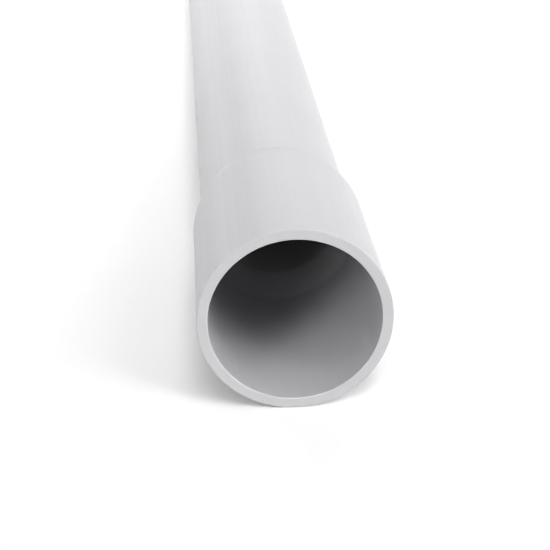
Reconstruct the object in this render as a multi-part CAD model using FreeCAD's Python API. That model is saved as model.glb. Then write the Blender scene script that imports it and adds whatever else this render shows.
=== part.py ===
"""Rigid PVC conduit, M32, in a 2 m length: one extruded tube with a socket formed on one end.

The tube lies along Y on a level floor, with the socket's mouth at the -Y end and the plain
spigot end at +Y. The origin is on the floor, under the middle of the length. The wall is
turned as one closed profile: its outside runs from the mouth over the formed shoulder to the
spigot end, and its inside comes back through the bore and the shoulder that stops the next pipe.
Sizes are in millimetres.
"""
import FreeCAD
import Part

import math
import os

# The tube
overall_length = 2000.0
outside_diameter = 32.0
pipe_wall = 2.2

# The socket, which takes the spigot end of the next length
socket_clearance = 0.1       # radial gap round the next pipe
socket_wall = 2.0            # at the mouth, thinner than the tube's because the hot end is stretched
shoulder_wall = 1.75         # at the shoulder, where it is stretched most, so the outside tapers
socket_depth = 43.0          # from the mouth to the start of the inner shoulder
shoulder_slope = 15.0        # degrees between the formed shoulder and the axis
outer_blend_radius = 9.0     # where the shoulder leaves the socket and meets the tube, outside
inner_blend_radius = 6.0     # the same bends seen from inside

# The cut ends
mouth_inner_chamfer = 0.15
mouth_outer_chamfer = 0.15
spigot_outer_chamfer = 0.6
spigot_inner_chamfer = 0.3

# What the sizes above give
outer_radius = outside_diameter / 2
bore_radius = outer_radius - pipe_wall
socket_bore_radius = outer_radius + socket_clearance
socket_outer_radius = socket_bore_radius + socket_wall
shoulder_outer_radius = socket_bore_radius + shoulder_wall
axis_height = socket_outer_radius
mouth_y = -overall_length / 2
spigot_y = overall_length / 2


def shoulder_run(rise):
    """Length along the axis in which the shoulder climbs by rise."""
    return rise / math.tan(math.radians(shoulder_slope))


def at(station, radius):
    """The point of the profile at a distance from the mouth and from the axis."""
    return FreeCAD.Vector(0, mouth_y + station, axis_height + radius)


def outer_corners():
    """Corners of the outside, from the mouth to the spigot end, each with its blend radius."""
    # The wall is as thick across the shoulder as beside it, so the outside turns a little earlier.
    lead = shoulder_wall * math.tan(math.radians(shoulder_slope / 2))
    socket_end = socket_depth - lead
    shoulder_end = socket_end + shoulder_run(shoulder_outer_radius - outer_radius)
    return [
        (at(0, socket_outer_radius - mouth_outer_chamfer), 0),
        (at(mouth_outer_chamfer, socket_outer_radius), 0),
        (at(socket_end, shoulder_outer_radius), outer_blend_radius),
        (at(shoulder_end, outer_radius), outer_blend_radius),
        (at(overall_length - spigot_outer_chamfer, outer_radius), 0),
        (at(overall_length, outer_radius - spigot_outer_chamfer), 0),
    ]


def inner_corners():
    """Corners of the inside, from the spigot end back to the mouth, each with its blend radius."""
    shoulder_end = socket_depth + shoulder_run(socket_bore_radius - bore_radius)
    return [
        (at(overall_length, bore_radius + spigot_inner_chamfer), 0),
        (at(overall_length - spigot_inner_chamfer, bore_radius), 0),
        (at(shoulder_end, bore_radius), inner_blend_radius),
        (at(socket_depth, socket_bore_radius), inner_blend_radius),
        (at(mouth_inner_chamfer, socket_bore_radius), 0),
        (at(0, socket_bore_radius + mouth_inner_chamfer), 0),
    ]


def blend_at(before, corner, after, radius):
    """The tangent arc that rounds a corner, as its first, middle and last points."""
    back = (before - corner).normalize()
    ahead = (after - corner).normalize()
    half_angle = back.getAngle(ahead) / 2
    setback = radius / math.tan(half_angle)
    centre = corner + (back + ahead).normalize() * (radius / math.sin(half_angle))
    middle = centre + (corner - centre).normalize() * radius
    return corner + back * setback, middle, corner + ahead * setback


def closed_profile(corners):
    """A closed wire through the corners, with a tangent arc where a corner has a radius."""
    count = len(corners)
    stops = []
    for index, (corner, radius) in enumerate(corners):
        if radius > 0:
            before = corners[index - 1][0]
            after = corners[(index + 1) % count][0]
            stops.append(blend_at(before, corner, after, radius))
        else:
            stops.append((corner,))
    edges = []
    for index, stop in enumerate(stops):
        if len(stop) > 1:
            edges.append(Part.Arc(*stop).toShape())
        following = stops[(index + 1) % count]
        edges.append(Part.LineSegment(stop[-1], following[0]).toShape())
    return Part.Wire(edges)


def conduit_pipe():
    """The whole tube: its wall's profile turned once round the axis."""
    wall = Part.Face(closed_profile(outer_corners() + inner_corners()))
    axis_point = FreeCAD.Vector(0, 0, axis_height)
    return wall.revolve(axis_point, FreeCAD.Vector(0, 1, 0), 360)


def main():
    os.makedirs("parts", exist_ok=True)
    pipe = conduit_pipe()
    pipe.exportStep("parts/conduit_pipe.step")
    box = pipe.optimalBoundingBox(False)
    print(f"{box.XLength:.2f} x {box.YLength:.2f} x {box.ZLength:.2f} mm, lowest {box.ZMin:.3f} mm,",
          f"{pipe.Volume / 1000:.1f} cm3, {pipe.ShapeType}, valid {pipe.isValid()}")


if __name__ == "__main__":
    main()
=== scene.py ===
"""Looks of a light grey rigid PVC conduit pipe, 2 m long, with a socket formed on its near end.

The pipe lies along Y with the socket's mouth at -Y, its axis one socket radius above the floor.
Lengths are in metres. A pattern's spacing is in millimetres, and its name ends in _mm.
"""
import math

import bmesh
import bpy
from mathutils import Euler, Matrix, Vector


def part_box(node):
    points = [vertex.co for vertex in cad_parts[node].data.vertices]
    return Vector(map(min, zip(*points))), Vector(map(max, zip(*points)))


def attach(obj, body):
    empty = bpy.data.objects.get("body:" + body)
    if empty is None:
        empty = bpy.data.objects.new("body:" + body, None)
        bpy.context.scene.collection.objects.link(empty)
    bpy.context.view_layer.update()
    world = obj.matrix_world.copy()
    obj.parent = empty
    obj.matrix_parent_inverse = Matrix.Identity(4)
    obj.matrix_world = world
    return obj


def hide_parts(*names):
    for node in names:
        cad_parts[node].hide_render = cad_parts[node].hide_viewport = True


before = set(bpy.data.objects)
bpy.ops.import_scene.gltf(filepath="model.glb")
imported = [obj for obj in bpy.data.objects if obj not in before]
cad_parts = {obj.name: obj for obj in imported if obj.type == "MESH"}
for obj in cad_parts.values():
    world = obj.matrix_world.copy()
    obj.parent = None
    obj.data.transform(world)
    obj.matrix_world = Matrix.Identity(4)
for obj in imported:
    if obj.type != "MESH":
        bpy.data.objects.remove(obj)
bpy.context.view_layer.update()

bl_info = {
    "name": "Rigid PVC Conduit Pipe",
    "version": (1, 0, 0),
    "blender": (4, 5, 0),
    "location": "View3D > Sidebar > Conduit",
    "description": "Turns a length of rigid PVC conduit with a formed socket, and sets its studio",
    "category": "Object",
}

PIPE_NODE = "conduit_pipe"
MM = 0.001
UPVC_IOR = 1.53

# The mesh: steps round the axis, and steps in the bends of the cut edges and of the shoulder
AROUND = 224
EDGE_BENDS = 3
SHOULDER_BENDS = 7
# Rings along each run of the section
SOCKET_RINGS, SHOULDER_RINGS, TUBE_RINGS, BORE_RINGS = 32, 4, 50, 40
MOUTH_CUT_RINGS, SPIGOT_CUT_RINGS = 6, 4
HOLD = 0.15 * MM               # from an edge to the ring that keeps its shading crisp
# The finishes, in the order of the pipe's materials; the third, on the deburred edges, is paler and paints
# the highlight that the edges catch
SKIN, CUT, SCRAPED_AND_HIGHLIGHT = range(3)

# Unevenness of the hand-cut, hot-formed end
EDGE_ROUNDING = 0.03 * MM
SAW_DRIFT = 0.03 * MM          # how far the saw cut is from flat
SAW_REACH = 2 * MM             # the mouth's skin moves with the cut over this length
SOCKET_FLATTENING = 0.06 * MM  # the socket is narrower across than upright
SOCKET_RIPPLE = 0.01 * MM
ROUND_AGAIN = (30 * MM, 42 * MM)   # the socket's unevenness fades out between these distances

# Picture
DOME_SEGMENTS, DOME_RINGS = 64, 32
SENSOR_WIDTH_MM = 36.0
CAMERA_CLIP = (0.01, 200.0)

node_low, node_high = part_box(PIPE_NODE)
socket_outer_radius = (node_high.z - node_low.z) / 2
axis_height = node_low.z + socket_outer_radius
mouth_y = node_low.y


def linear_colour(hex_code):
    """The linear colour of an sRGB hex code, with alpha."""
    channels = [int(hex_code[i:i + 2], 16) / 255 for i in (0, 2, 4)]
    linear = [c / 12.92 if c <= 0.04045 else ((c + 0.055) / 1.055) ** 2.4 for c in channels]
    return (*linear, 1.0)


def length_property(name, description, default):
    return bpy.props.FloatProperty(name=name, description=description, default=default, min=0.0,
                                   subtype="DISTANCE", unit="LENGTH", precision=5)


def colour_property(name, description, hex_code):
    return bpy.props.FloatVectorProperty(name=name, description=description, subtype="COLOR", size=4,
                                         min=0.0, max=1.0, default=linear_colour(hex_code))


class PipeSizes(bpy.types.PropertyGroup):
    """Sizes of the turned pipe."""
    overall_length: length_property("Length", "From the mouth to the spigot end", node_high.y - node_low.y)
    outside_radius: length_property("Tube radius", "Outside radius of the plain tube", 16.0 * MM)
    pipe_wall: length_property("Wall", "Thickness of the tube's wall", 2.2 * MM)
    socket_wall: length_property("Socket wall", "Thickness of the stretched wall at the mouth", 2.0 * MM)
    shoulder_wall: length_property("Shoulder wall", "Thickness where the wall is stretched most", 1.75 * MM)
    socket_depth: length_property("Socket depth", "From the mouth to the inner shoulder", 43.0 * MM)
    shoulder_slope: bpy.props.FloatProperty(
        name="Shoulder slope", description="Angle between the shoulder and the axis",
        default=math.radians(15.0), subtype="ANGLE", unit="ROTATION")
    outer_blend: length_property("Outer blend", "Radius of the shoulder's outer bends", 9.0 * MM)
    inner_blend: length_property("Inner blend", "Radius of the shoulder's inner bends", 6.0 * MM)
    spigot_outer_chamfer: length_property("Spigot chamfer", "Outer chamfer of the spigot end", 0.6 * MM)
    spigot_inner_chamfer: length_property("Bore chamfer", "Inner chamfer of the spigot end", 0.3 * MM)


class PipeColours(bpy.types.PropertyGroup):
    """Colours of the pipe's skin and of its cut ends."""
    skin: colour_property("Skin", "The extruded skin", "C2C2C4")
    cut: colour_property("Cut", "The sawn ends", "BAB9BB")
    # The deburred edge's paler colour paints the highlight that the edge catches
    scraped_and_highlight: colour_property("Scraped edge", "The paler edge that the deburring blade leaves", "E0E0E1")


class StudioSettings(bpy.types.PropertyGroup):
    """The floor, the light and the camera."""
    floor_size: length_property("Floor", "Side of the square floor", 160.0)
    floor_colour: colour_property("Floor colour", "The pale floor", "F4F4F4")
    backdrop_radius: length_property("Backdrop", "Radius of the white dome round the floor", 70.0)
    sky_strength: bpy.props.FloatProperty(
        name="Surround", description="Strength of the even white surround", default=0.1, min=0.0)
    print_gamma: bpy.props.FloatProperty(
        name="Gamma", description="Gamma of the picture; under 1 is harder", default=0.8, min=0.5, max=2.0)
    camera_place: bpy.props.FloatVectorProperty(
        name="Camera", description="Where the camera stands", subtype="XYZ", unit="LENGTH",
        default=(-0.01915, mouth_y - 0.21437, axis_height + 0.10893), size=3)
    camera_pitch: bpy.props.FloatProperty(
        name="Pitch", description="Camera's tilt below level",
        default=math.radians(24.846), subtype="ANGLE", unit="ROTATION")
    camera_yaw: bpy.props.FloatProperty(
        name="Yaw", description="Camera's turn from +Y towards +X",
        default=math.radians(4.105), subtype="ANGLE", unit="ROTATION")
    camera_lens: bpy.props.FloatProperty(
        name="Lens", description="Focal length on a 36 mm sensor, in mm",
        default=86.73, subtype="DISTANCE_CAMERA")


def corner(station, radius, blend, bends, finish, rings=1, hold=0.0):
    """A corner of the wall's section: its blend, and the finish and rings of the run after it.

    A run with a hold has one more ring that far from each end, which keeps the shading crisp there.
    """
    return {"at": Vector((station, radius)), "blend": blend, "bends": bends,
            "finish": finish, "rings": rings, "hold": hold}


def wall_corners(p, angle):
    """The section's corners at an angle round the axis, from the mouth along the outside and back."""
    outer = socket_outer_radius
    inner = outer - p.socket_wall
    bore = p.outside_radius - p.pipe_wall
    slope = math.tan(p.shoulder_slope)
    shoulder_outer = inner + p.shoulder_wall
    socket_end = p.socket_depth - p.shoulder_wall * math.tan(p.shoulder_slope / 2)
    shoulder_end = socket_end + (shoulder_outer - p.outside_radius) / slope
    stop_end = p.socket_depth + (inner - bore) / slope
    far = p.overall_length
    edge = (EDGE_ROUNDING, EDGE_BENDS)
    # The deburred edge inside is widest on the left, and its paler colour paints the highlight that the edge
    # catches, widest there.
    inside_scrape = (0.10 + 0.06 * math.cos(angle - 2.7) + 0.01 * math.sin(3 * angle + 0.6)) * MM
    outside_scrape = (0.09 + 0.02 * math.sin(angle - 0.9) + 0.01 * math.sin(4 * angle + 1.9)) * MM
    return [
        corner(0, outer - outside_scrape, *edge, CUT),
        corner(outside_scrape, outer, *edge, SKIN, SOCKET_RINGS, HOLD),
        corner(socket_end, shoulder_outer, p.outer_blend, SHOULDER_BENDS, SKIN, SHOULDER_RINGS),
        corner(shoulder_end, p.outside_radius, p.outer_blend, SHOULDER_BENDS, SKIN, TUBE_RINGS, HOLD),
        corner(far - p.spigot_outer_chamfer, p.outside_radius, *edge, SCRAPED_AND_HIGHLIGHT),
        corner(far, p.outside_radius - p.spigot_outer_chamfer, *edge, CUT, SPIGOT_CUT_RINGS, HOLD),
        corner(far, bore + p.spigot_inner_chamfer, *edge, SCRAPED_AND_HIGHLIGHT),
        corner(far - p.spigot_inner_chamfer, bore, *edge, SKIN, BORE_RINGS, HOLD),
        corner(stop_end, bore, p.inner_blend, SHOULDER_BENDS, SKIN, SHOULDER_RINGS),
        corner(p.socket_depth, inner, p.inner_blend, SHOULDER_BENDS, SKIN, SOCKET_RINGS, HOLD),
        corner(inside_scrape, inner, *edge, SCRAPED_AND_HIGHLIGHT),
        corner(0, inner + inside_scrape, *edge, CUT, MOUTH_CUT_RINGS, HOLD),
    ]


def bend_points(before, here, after, radius, bends):
    """Points of the tangent arc that rounds a corner."""
    back = (before - here).normalized()
    ahead = (after - here).normalized()
    half = back.angle(ahead) / 2
    centre = here + (back + ahead).normalized() * (radius / math.sin(half))
    start = here + back * (radius / math.tan(half)) - centre
    end = here + ahead * (radius / math.tan(half)) - centre
    sweep = start.angle_signed(end)
    points = []
    for i in range(bends + 1):
        cosine, sine = math.cos(sweep * i / bends), math.sin(sweep * i / bends)
        points.append(centre + Vector((start.x * cosine + start.y * sine, start.y * cosine - start.x * sine)))
    return points


def wall_section(p, angle):
    """Points of the closed section and the finish of the strip after each."""
    corners = wall_corners(p, angle)
    places = [c["at"] for c in corners]
    arcs = [bend_points(places[i - 1], places[i], places[(i + 1) % len(places)], c["blend"], c["bends"])
            for i, c in enumerate(corners)]
    points, finishes = [], []
    for i, c in enumerate(corners):
        start, end = arcs[i][-1], arcs[(i + 1) % len(corners)][0]
        run = end - start
        shares = [j / c["rings"] for j in range(1, c["rings"])]
        if c["hold"]:
            near = c["hold"] / run.length
            shares = [near] + [near + (1 - 2 * near) * s for s in shares] + [1 - near]
        strip = arcs[i] + [start + run * s for s in shares]
        points += strip
        finishes += [c["finish"]] * len(strip)
    return points, finishes


def out_of_true(station, angle):
    """How far a point of the socket's end is moved along the axis and towards it."""
    near_mouth = max(0.0, 1 - station / SAW_REACH)
    along = near_mouth * SAW_DRIFT * (1 + math.sin(2 * angle + 0.7)) / 2
    start, end = ROUND_AGAIN
    in_socket = max(0.0, min(1.0, 1 - (station + along - start) / (end - start)))
    flattening = SOCKET_FLATTENING * math.cos(angle) ** 2
    ripple = SOCKET_RIPPLE * (1 + math.sin(3 * angle + 1.1))
    return along, in_socket * (flattening + ripple)


def turned_wall(p):
    """The pipe's wall as one closed mesh, with the small unevenness of a hand-cut, hot-formed end."""
    vertices, faces, face_finishes = [], [], []
    for step in range(AROUND):
        angle = 2 * math.pi * step / AROUND
        points, finishes = wall_section(p, angle)
        count = len(points)
        for station, radius in points:
            along, inwards = out_of_true(station, angle)
            radius -= inwards
            vertices.append((radius * math.cos(angle), mouth_y + station + along,
                             axis_height + radius * math.sin(angle)))
    for step in range(AROUND):
        this, following = step * count, (step + 1) % AROUND * count
        for j in range(count):
            k = (j + 1) % count
            faces.append((this + j, this + k, following + k, following + j))
            face_finishes.append(finishes[j])
    mesh = bpy.data.meshes.new(PIPE_NODE + "_wall")
    mesh.from_pydata(vertices, [], faces)
    mesh.polygons.foreach_set("material_index", face_finishes)
    mesh.polygons.foreach_set("use_smooth", [True] * len(faces))
    mesh.update()
    return mesh


def add(tree, kind, sockets=None, **settings):
    """Adds a node, with its settings, and its inputs as values or as links from other sockets."""
    new = tree.nodes.new(kind)
    for name, value in settings.items():
        setattr(new, name, value)
    for name, value in (sockets or {}).items():
        if isinstance(value, bpy.types.NodeSocket):
            tree.links.new(value, new.inputs[name])
        else:
            new.inputs[name].default_value = value
    return new


def per_metre(spacing_mm):
    """Noise scale for a pattern whose features are this many millimetres apart."""
    return 1 / (spacing_mm * MM)


def new_material(name):
    """An empty node material, with its tree and its output node."""
    material = bpy.data.materials.new(name)
    material.use_nodes = True
    tree = material.node_tree
    tree.nodes.clear()
    return material, tree, add(tree, "ShaderNodeOutputMaterial")


def extruded_upvc(colours):
    """Unplasticised PVC, extruded through a die and cooled in a sizing sleeve: an even satin skin.

    The eye gets faint lines drawn along the pipe by the die, a slow drift of tone, and a fine
    orange peel that is stronger where the end was heated to form the socket.
    """
    material, tree, output = new_material("extruded_upvc")
    # Real die lines are a few tenths of a millimetre apart, too fine to show, so they are drawn coarser.
    lines_mm, streaks_mm, clouds_mm, peel_mm = 0.9, 7, 30, 0.8
    stretch = (1, 0.004, 1)
    heated_end, cool_again, cool_peel = mouth_y + 45 * MM, mouth_y + 70 * MM, 0.35
    place = add(tree, "ShaderNodeTexCoord").outputs["Object"]
    drawn = add(tree, "ShaderNodeMapping", {"Vector": place, "Scale": stretch}).outputs["Vector"]
    lines = add(tree, "ShaderNodeTexNoise", {
        "Vector": drawn, "Scale": per_metre(lines_mm), "Detail": 3.0, "Roughness": 0.6}).outputs["Fac"]
    streaks = add(tree, "ShaderNodeTexNoise", {
        "Vector": drawn, "Scale": per_metre(streaks_mm), "Detail": 2.0}).outputs["Fac"]
    clouds = add(tree, "ShaderNodeTexNoise", {
        "Vector": place, "Scale": per_metre(clouds_mm), "Detail": 4.0}).outputs["Fac"]
    peel = add(tree, "ShaderNodeTexNoise", {
        "Vector": place, "Scale": per_metre(peel_mm), "Detail": 2.0}).outputs["Fac"]
    tone = add(tree, "ShaderNodeMath", {0: streaks, 1: clouds}, operation="ADD").outputs["Value"]
    shade = add(tree, "ShaderNodeMapRange", {
        "Value": tone, "From Min": 0.7, "From Max": 1.3, "To Min": 0.965, "To Max": 1.0}).outputs["Result"]
    colour = add(tree, "ShaderNodeMix", {"Factor": 1.0, 6: colours.skin, 7: shade},
                 data_type="RGBA", blend_type="MULTIPLY").outputs[2]
    gloss = add(tree, "ShaderNodeMapRange", {
        "Value": lines, "From Min": 0.3, "From Max": 0.7, "To Min": 0.46, "To Max": 0.56}).outputs["Result"]
    along = add(tree, "ShaderNodeSeparateXYZ", {"Vector": place}).outputs["Y"]
    heated = add(tree, "ShaderNodeMapRange", {
        "Value": along, "From Min": heated_end, "From Max": cool_again, "To Min": 1.0, "To Max": cool_peel},
        interpolation_type="SMOOTHSTEP").outputs["Result"]
    peel_height = add(tree, "ShaderNodeMath", {0: peel, 1: heated}, operation="MULTIPLY").outputs["Value"]
    peeled = add(tree, "ShaderNodeBump", {"Height": peel_height, "Strength": 1.0, "Distance": 0.003 * MM})
    ruled = add(tree, "ShaderNodeBump", {
        "Height": lines, "Strength": 1.0, "Distance": 0.0025 * MM, "Normal": peeled.outputs["Normal"]})
    shader = add(tree, "ShaderNodeBsdfPrincipled", {
        "Base Color": colour, "Roughness": gloss, "IOR": UPVC_IOR, "Normal": ruled.outputs["Normal"]})
    tree.links.new(shader.outputs["BSDF"], output.inputs["Surface"])
    return material


def sawn_upvc(colours):
    """The same plastic cut across by a fine-toothed saw: flat and dull.

    The eye gets very shallow tooth marks, nearly straight because the blade is large, and fine grain.
    """
    material, tree, output = new_material("sawn_upvc")
    # Real tooth marks are under half a millimetre apart, too fine to show, so they are drawn coarser.
    marks_mm, grain_mm = 3.5, 0.2
    wave_bands = 2 * math.pi / 20
    saw_tilt = math.radians(28)
    place = add(tree, "ShaderNodeTexCoord").outputs["Object"]
    turned = add(tree, "ShaderNodeMapping", {"Vector": place, "Rotation": (0, saw_tilt, 0)}).outputs["Vector"]
    marks = add(tree, "ShaderNodeTexWave", {
        "Vector": turned, "Scale": per_metre(marks_mm) * wave_bands, "Distortion": 1.2,
        "Detail": 2.0, "Detail Scale": 2.0}, wave_type="BANDS", bands_direction="X").outputs["Fac"]
    grain = add(tree, "ShaderNodeTexNoise", {
        "Vector": place, "Scale": per_metre(grain_mm), "Detail": 3.0}).outputs["Fac"]
    height = add(tree, "ShaderNodeMath", {0: marks, 1: grain}, operation="ADD").outputs["Value"]
    shade = add(tree, "ShaderNodeMapRange", {
        "Value": height, "From Min": 0.5, "From Max": 1.5, "To Min": 0.985, "To Max": 1.0}).outputs["Result"]
    colour = add(tree, "ShaderNodeMix", {"Factor": 1.0, 6: colours.cut, 7: shade},
                 data_type="RGBA", blend_type="MULTIPLY").outputs[2]
    cut = add(tree, "ShaderNodeBump", {"Height": height, "Strength": 1.0, "Distance": 0.004 * MM})
    shader = add(tree, "ShaderNodeBsdfPrincipled", {
        "Base Color": colour, "Roughness": 0.6, "IOR": UPVC_IOR, "Normal": cut.outputs["Normal"]})
    tree.links.new(shader.outputs["BSDF"], output.inputs["Surface"])
    return material


def scraped_upvc_and_highlight(colours):
    """The same plastic where a deburring blade shaved the corner: a thin paler line.

    The paler colour paints the highlight that the edge catches. The blade chatters, so the line is broken by
    finer and duller stretches.
    """
    material, tree, output = new_material("scraped_upvc_and_highlight")
    chatter_mm, stretches_mm = 0.6, 9
    place = add(tree, "ShaderNodeTexCoord").outputs["Object"]
    chatter = add(tree, "ShaderNodeTexNoise", {
        "Vector": place, "Scale": per_metre(chatter_mm), "Detail": 2.0}).outputs["Fac"]
    stretches = add(tree, "ShaderNodeTexNoise", {
        "Vector": place, "Scale": per_metre(stretches_mm), "Detail": 2.0}).outputs["Fac"]
    # Stretches of the edge take the paler colour, a painted highlight; the rest keeps the cut's colour
    pale = add(tree, "ShaderNodeMapRange", {
        "Value": stretches, "From Min": 0.35, "From Max": 0.6}).outputs["Result"]
    colour = add(tree, "ShaderNodeMix", {"Factor": pale, 6: colours.cut, 7: colours.scraped_and_highlight},
                 data_type="RGBA").outputs[2]
    shaved = add(tree, "ShaderNodeBump", {"Height": chatter, "Strength": 1.0, "Distance": 0.01 * MM})
    shader = add(tree, "ShaderNodeBsdfPrincipled", {
        "Base Color": colour, "Roughness": 0.5, "IOR": UPVC_IOR, "Normal": shaved.outputs["Normal"]})
    tree.links.new(shader.outputs["BSDF"], output.inputs["Surface"])
    return material


def studio_floor(colour):
    """A matt painted floor, pale and even."""
    material, tree, output = new_material("matt_painted_floor")
    shader = add(tree, "ShaderNodeBsdfPrincipled", {
        "Base Color": colour, "Roughness": 0.9, "Specular IOR Level": 0.2})
    tree.links.new(shader.outputs["BSDF"], output.inputs["Surface"])
    return material


def lit_backdrop():
    """White cloth lit evenly from behind."""
    material, tree, output = new_material("lit_backdrop")
    shader = add(tree, "ShaderNodeEmission", {"Strength": 1.0})
    tree.links.new(shader.outputs["Emission"], output.inputs["Surface"])
    return material


class CONDUIT_OT_turn_pipe(bpy.types.Operator):
    """Turn the pipe's wall, with its socket and cut ends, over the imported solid"""
    bl_idname = "conduit.turn_pipe"
    bl_label = "Turn Conduit Pipe"

    def execute(self, context):
        sizes, colours = context.scene.conduit_sizes, context.scene.conduit_colours
        pipe = bpy.data.objects.new("pipe_wall", turned_wall(sizes))
        context.scene.collection.objects.link(pipe)
        for material in (extruded_upvc(colours), sawn_upvc(colours), scraped_upvc_and_highlight(colours)):
            pipe.data.materials.append(material)
        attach(pipe, "root")
        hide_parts(PIPE_NODE)
        return {"FINISHED"}


# Large soft boxes far away, as suns with a wide disc: name, azimuth from +X, elevation and width in
# degrees, strength
SOFT_BOXES = [
    ("overhead_box", 0, 90, 36, 0.35),
    ("front_top_box", 285, 65, 18, 0.41),
    ("front_left_box", 240, 35, 18, 0.68),
    ("low_front_left_box", 240, 20, 18, 0.74),
    ("front_box", 270, 50, 18, 0.61),
    ("front_right_box", 315, 50, 18, 0.28),
    ("lower_front_right_box", 315, 35, 18, 0.60),
    ("right_box", 340, 35, 18, 0.11),
    ("lower_right_box", 340, 20, 18, 0.56),
    ("low_right_box", 355, 8, 18, 0.38),
    ("side_box", 10, 20, 18, 0.70),
    ("back_right_box", 60, 30, 18, 0.19),
    ("back_box", 90, 15, 36, 0.14),
    ("back_left_box", 135, 15, 36, 0.16),
]

# Long strip boxes along the pipe, behind its mouth: name, place of the near end's middle, width, length,
# tilt towards the pipe in degrees, power in watts
STRIP_BOXES = [
    ("strip_above", (-0.05, mouth_y + 0.14, 0.30), 0.30, 1.8, 0, 1.52),
    ("strip_on_left", (-0.30, mouth_y + 0.20, 0.15), 0.15, 1.8, 63, 1.07),
]


def soft_box(context, name, azimuth, elevation, width, strength):
    """A soft box so far away that it lights the whole floor evenly."""
    data = bpy.data.lights.new(name, "SUN")
    data.energy = strength
    data.angle = math.radians(width)
    lamp = bpy.data.objects.new(name, data)
    lamp.rotation_euler = Euler((math.radians(90 - elevation), 0, math.radians(azimuth + 90)))
    context.scene.collection.objects.link(lamp)


def strip_box(context, name, near_end, width, length, tilt, power):
    """A long soft box along the pipe, which leaves the mouth a little darker than the rest."""
    data = bpy.data.lights.new(name, "AREA")
    data.shape = "RECTANGLE"
    data.size, data.size_y = width, length
    data.energy = power
    lamp = bpy.data.objects.new(name, data)
    lamp.location = Vector(near_end) + Vector((0, length / 2, 0))
    lamp.rotation_euler = Euler((0, -math.radians(tilt), 0))
    lamp.visible_camera = False
    context.scene.collection.objects.link(lamp)


def placed(context, mesh, material):
    """An object of a mesh and one material, in the scene."""
    mesh.materials.append(material)
    piece = bpy.data.objects.new(mesh.name, mesh)
    context.scene.collection.objects.link(piece)
    return piece


class CONDUIT_OT_set_studio(bpy.types.Operator):
    """Lay the pale floor, hang the soft lights and place the camera"""
    bl_idname = "conduit.set_studio"
    bl_label = "Set Studio"

    def execute(self, context):
        studio = context.scene.conduit_studio
        half = studio.floor_size / 2
        corners = [(-half, -half, 0), (half, -half, 0), (half, half, 0), (-half, half, 0)]
        mesh = bpy.data.meshes.new("floor")
        mesh.from_pydata(corners, [], [(0, 1, 2, 3)])
        floor = placed(context, mesh, studio_floor(studio.floor_colour))

        # A white cloth dome far round everything, seen by the camera and mirrored in the satin skin,
        # so no view ends in the dark. The soft boxes light the rest.
        shell = bmesh.new()
        bmesh.ops.create_uvsphere(shell, u_segments=DOME_SEGMENTS, v_segments=DOME_RINGS,
                                  radius=studio.backdrop_radius)
        mesh = bpy.data.meshes.new("backdrop")
        shell.to_mesh(mesh)
        shell.free()
        backdrop = placed(context, mesh, lit_backdrop())
        backdrop.visible_diffuse = backdrop.visible_shadow = False

        world = bpy.data.worlds.new("white_surround")
        world.use_nodes = True
        surround = world.node_tree.nodes["Background"]
        surround.inputs["Color"].default_value = (1, 1, 1, 1)
        surround.inputs["Strength"].default_value = studio.sky_strength
        context.scene.world = world

        for box in SOFT_BOXES:
            soft_box(context, *box)
        for box in STRIP_BOXES:
            strip_box(context, *box)

        data = bpy.data.cameras.new("camera")
        data.sensor_width = SENSOR_WIDTH_MM
        data.lens = studio.camera_lens
        data.clip_start, data.clip_end = CAMERA_CLIP
        camera = bpy.data.objects.new("camera", data)
        camera.location = studio.camera_place
        camera.rotation_euler = Euler((math.pi / 2 - studio.camera_pitch, 0, -studio.camera_yaw))
        context.scene.collection.objects.link(camera)
        context.scene.camera = camera
        # The picture's print is a little harder than a plain one.
        context.scene.view_settings.view_transform = "Standard"
        context.scene.view_settings.gamma = studio.print_gamma
        return {"FINISHED"}


class CONDUIT_PT_sidebar(bpy.types.Panel):
    """Lists the pipe's and the studio's operators"""
    bl_idname = "CONDUIT_PT_sidebar"
    bl_label = "Conduit Pipe"
    bl_space_type = "VIEW_3D"
    bl_region_type = "UI"
    bl_category = "Conduit"

    def draw(self, context):
        for operator in (CONDUIT_OT_turn_pipe, CONDUIT_OT_set_studio):
            self.layout.operator(operator.bl_idname)


CLASSES = (PipeSizes, PipeColours, StudioSettings, CONDUIT_OT_turn_pipe, CONDUIT_OT_set_studio,
           CONDUIT_PT_sidebar)


def register():
    for cls in CLASSES:
        bpy.utils.register_class(cls)
    bpy.types.Scene.conduit_sizes = bpy.props.PointerProperty(type=PipeSizes)
    bpy.types.Scene.conduit_colours = bpy.props.PointerProperty(type=PipeColours)
    bpy.types.Scene.conduit_studio = bpy.props.PointerProperty(type=StudioSettings)


def unregister():
    del bpy.types.Scene.conduit_studio, bpy.types.Scene.conduit_colours, bpy.types.Scene.conduit_sizes
    for cls in reversed(CLASSES):
        bpy.utils.unregister_class(cls)


def main():
    register()
    bpy.ops.conduit.turn_pipe()
    bpy.ops.conduit.set_studio()
    bpy.context.view_layer.update()


if __name__ == "__main__":
    main()
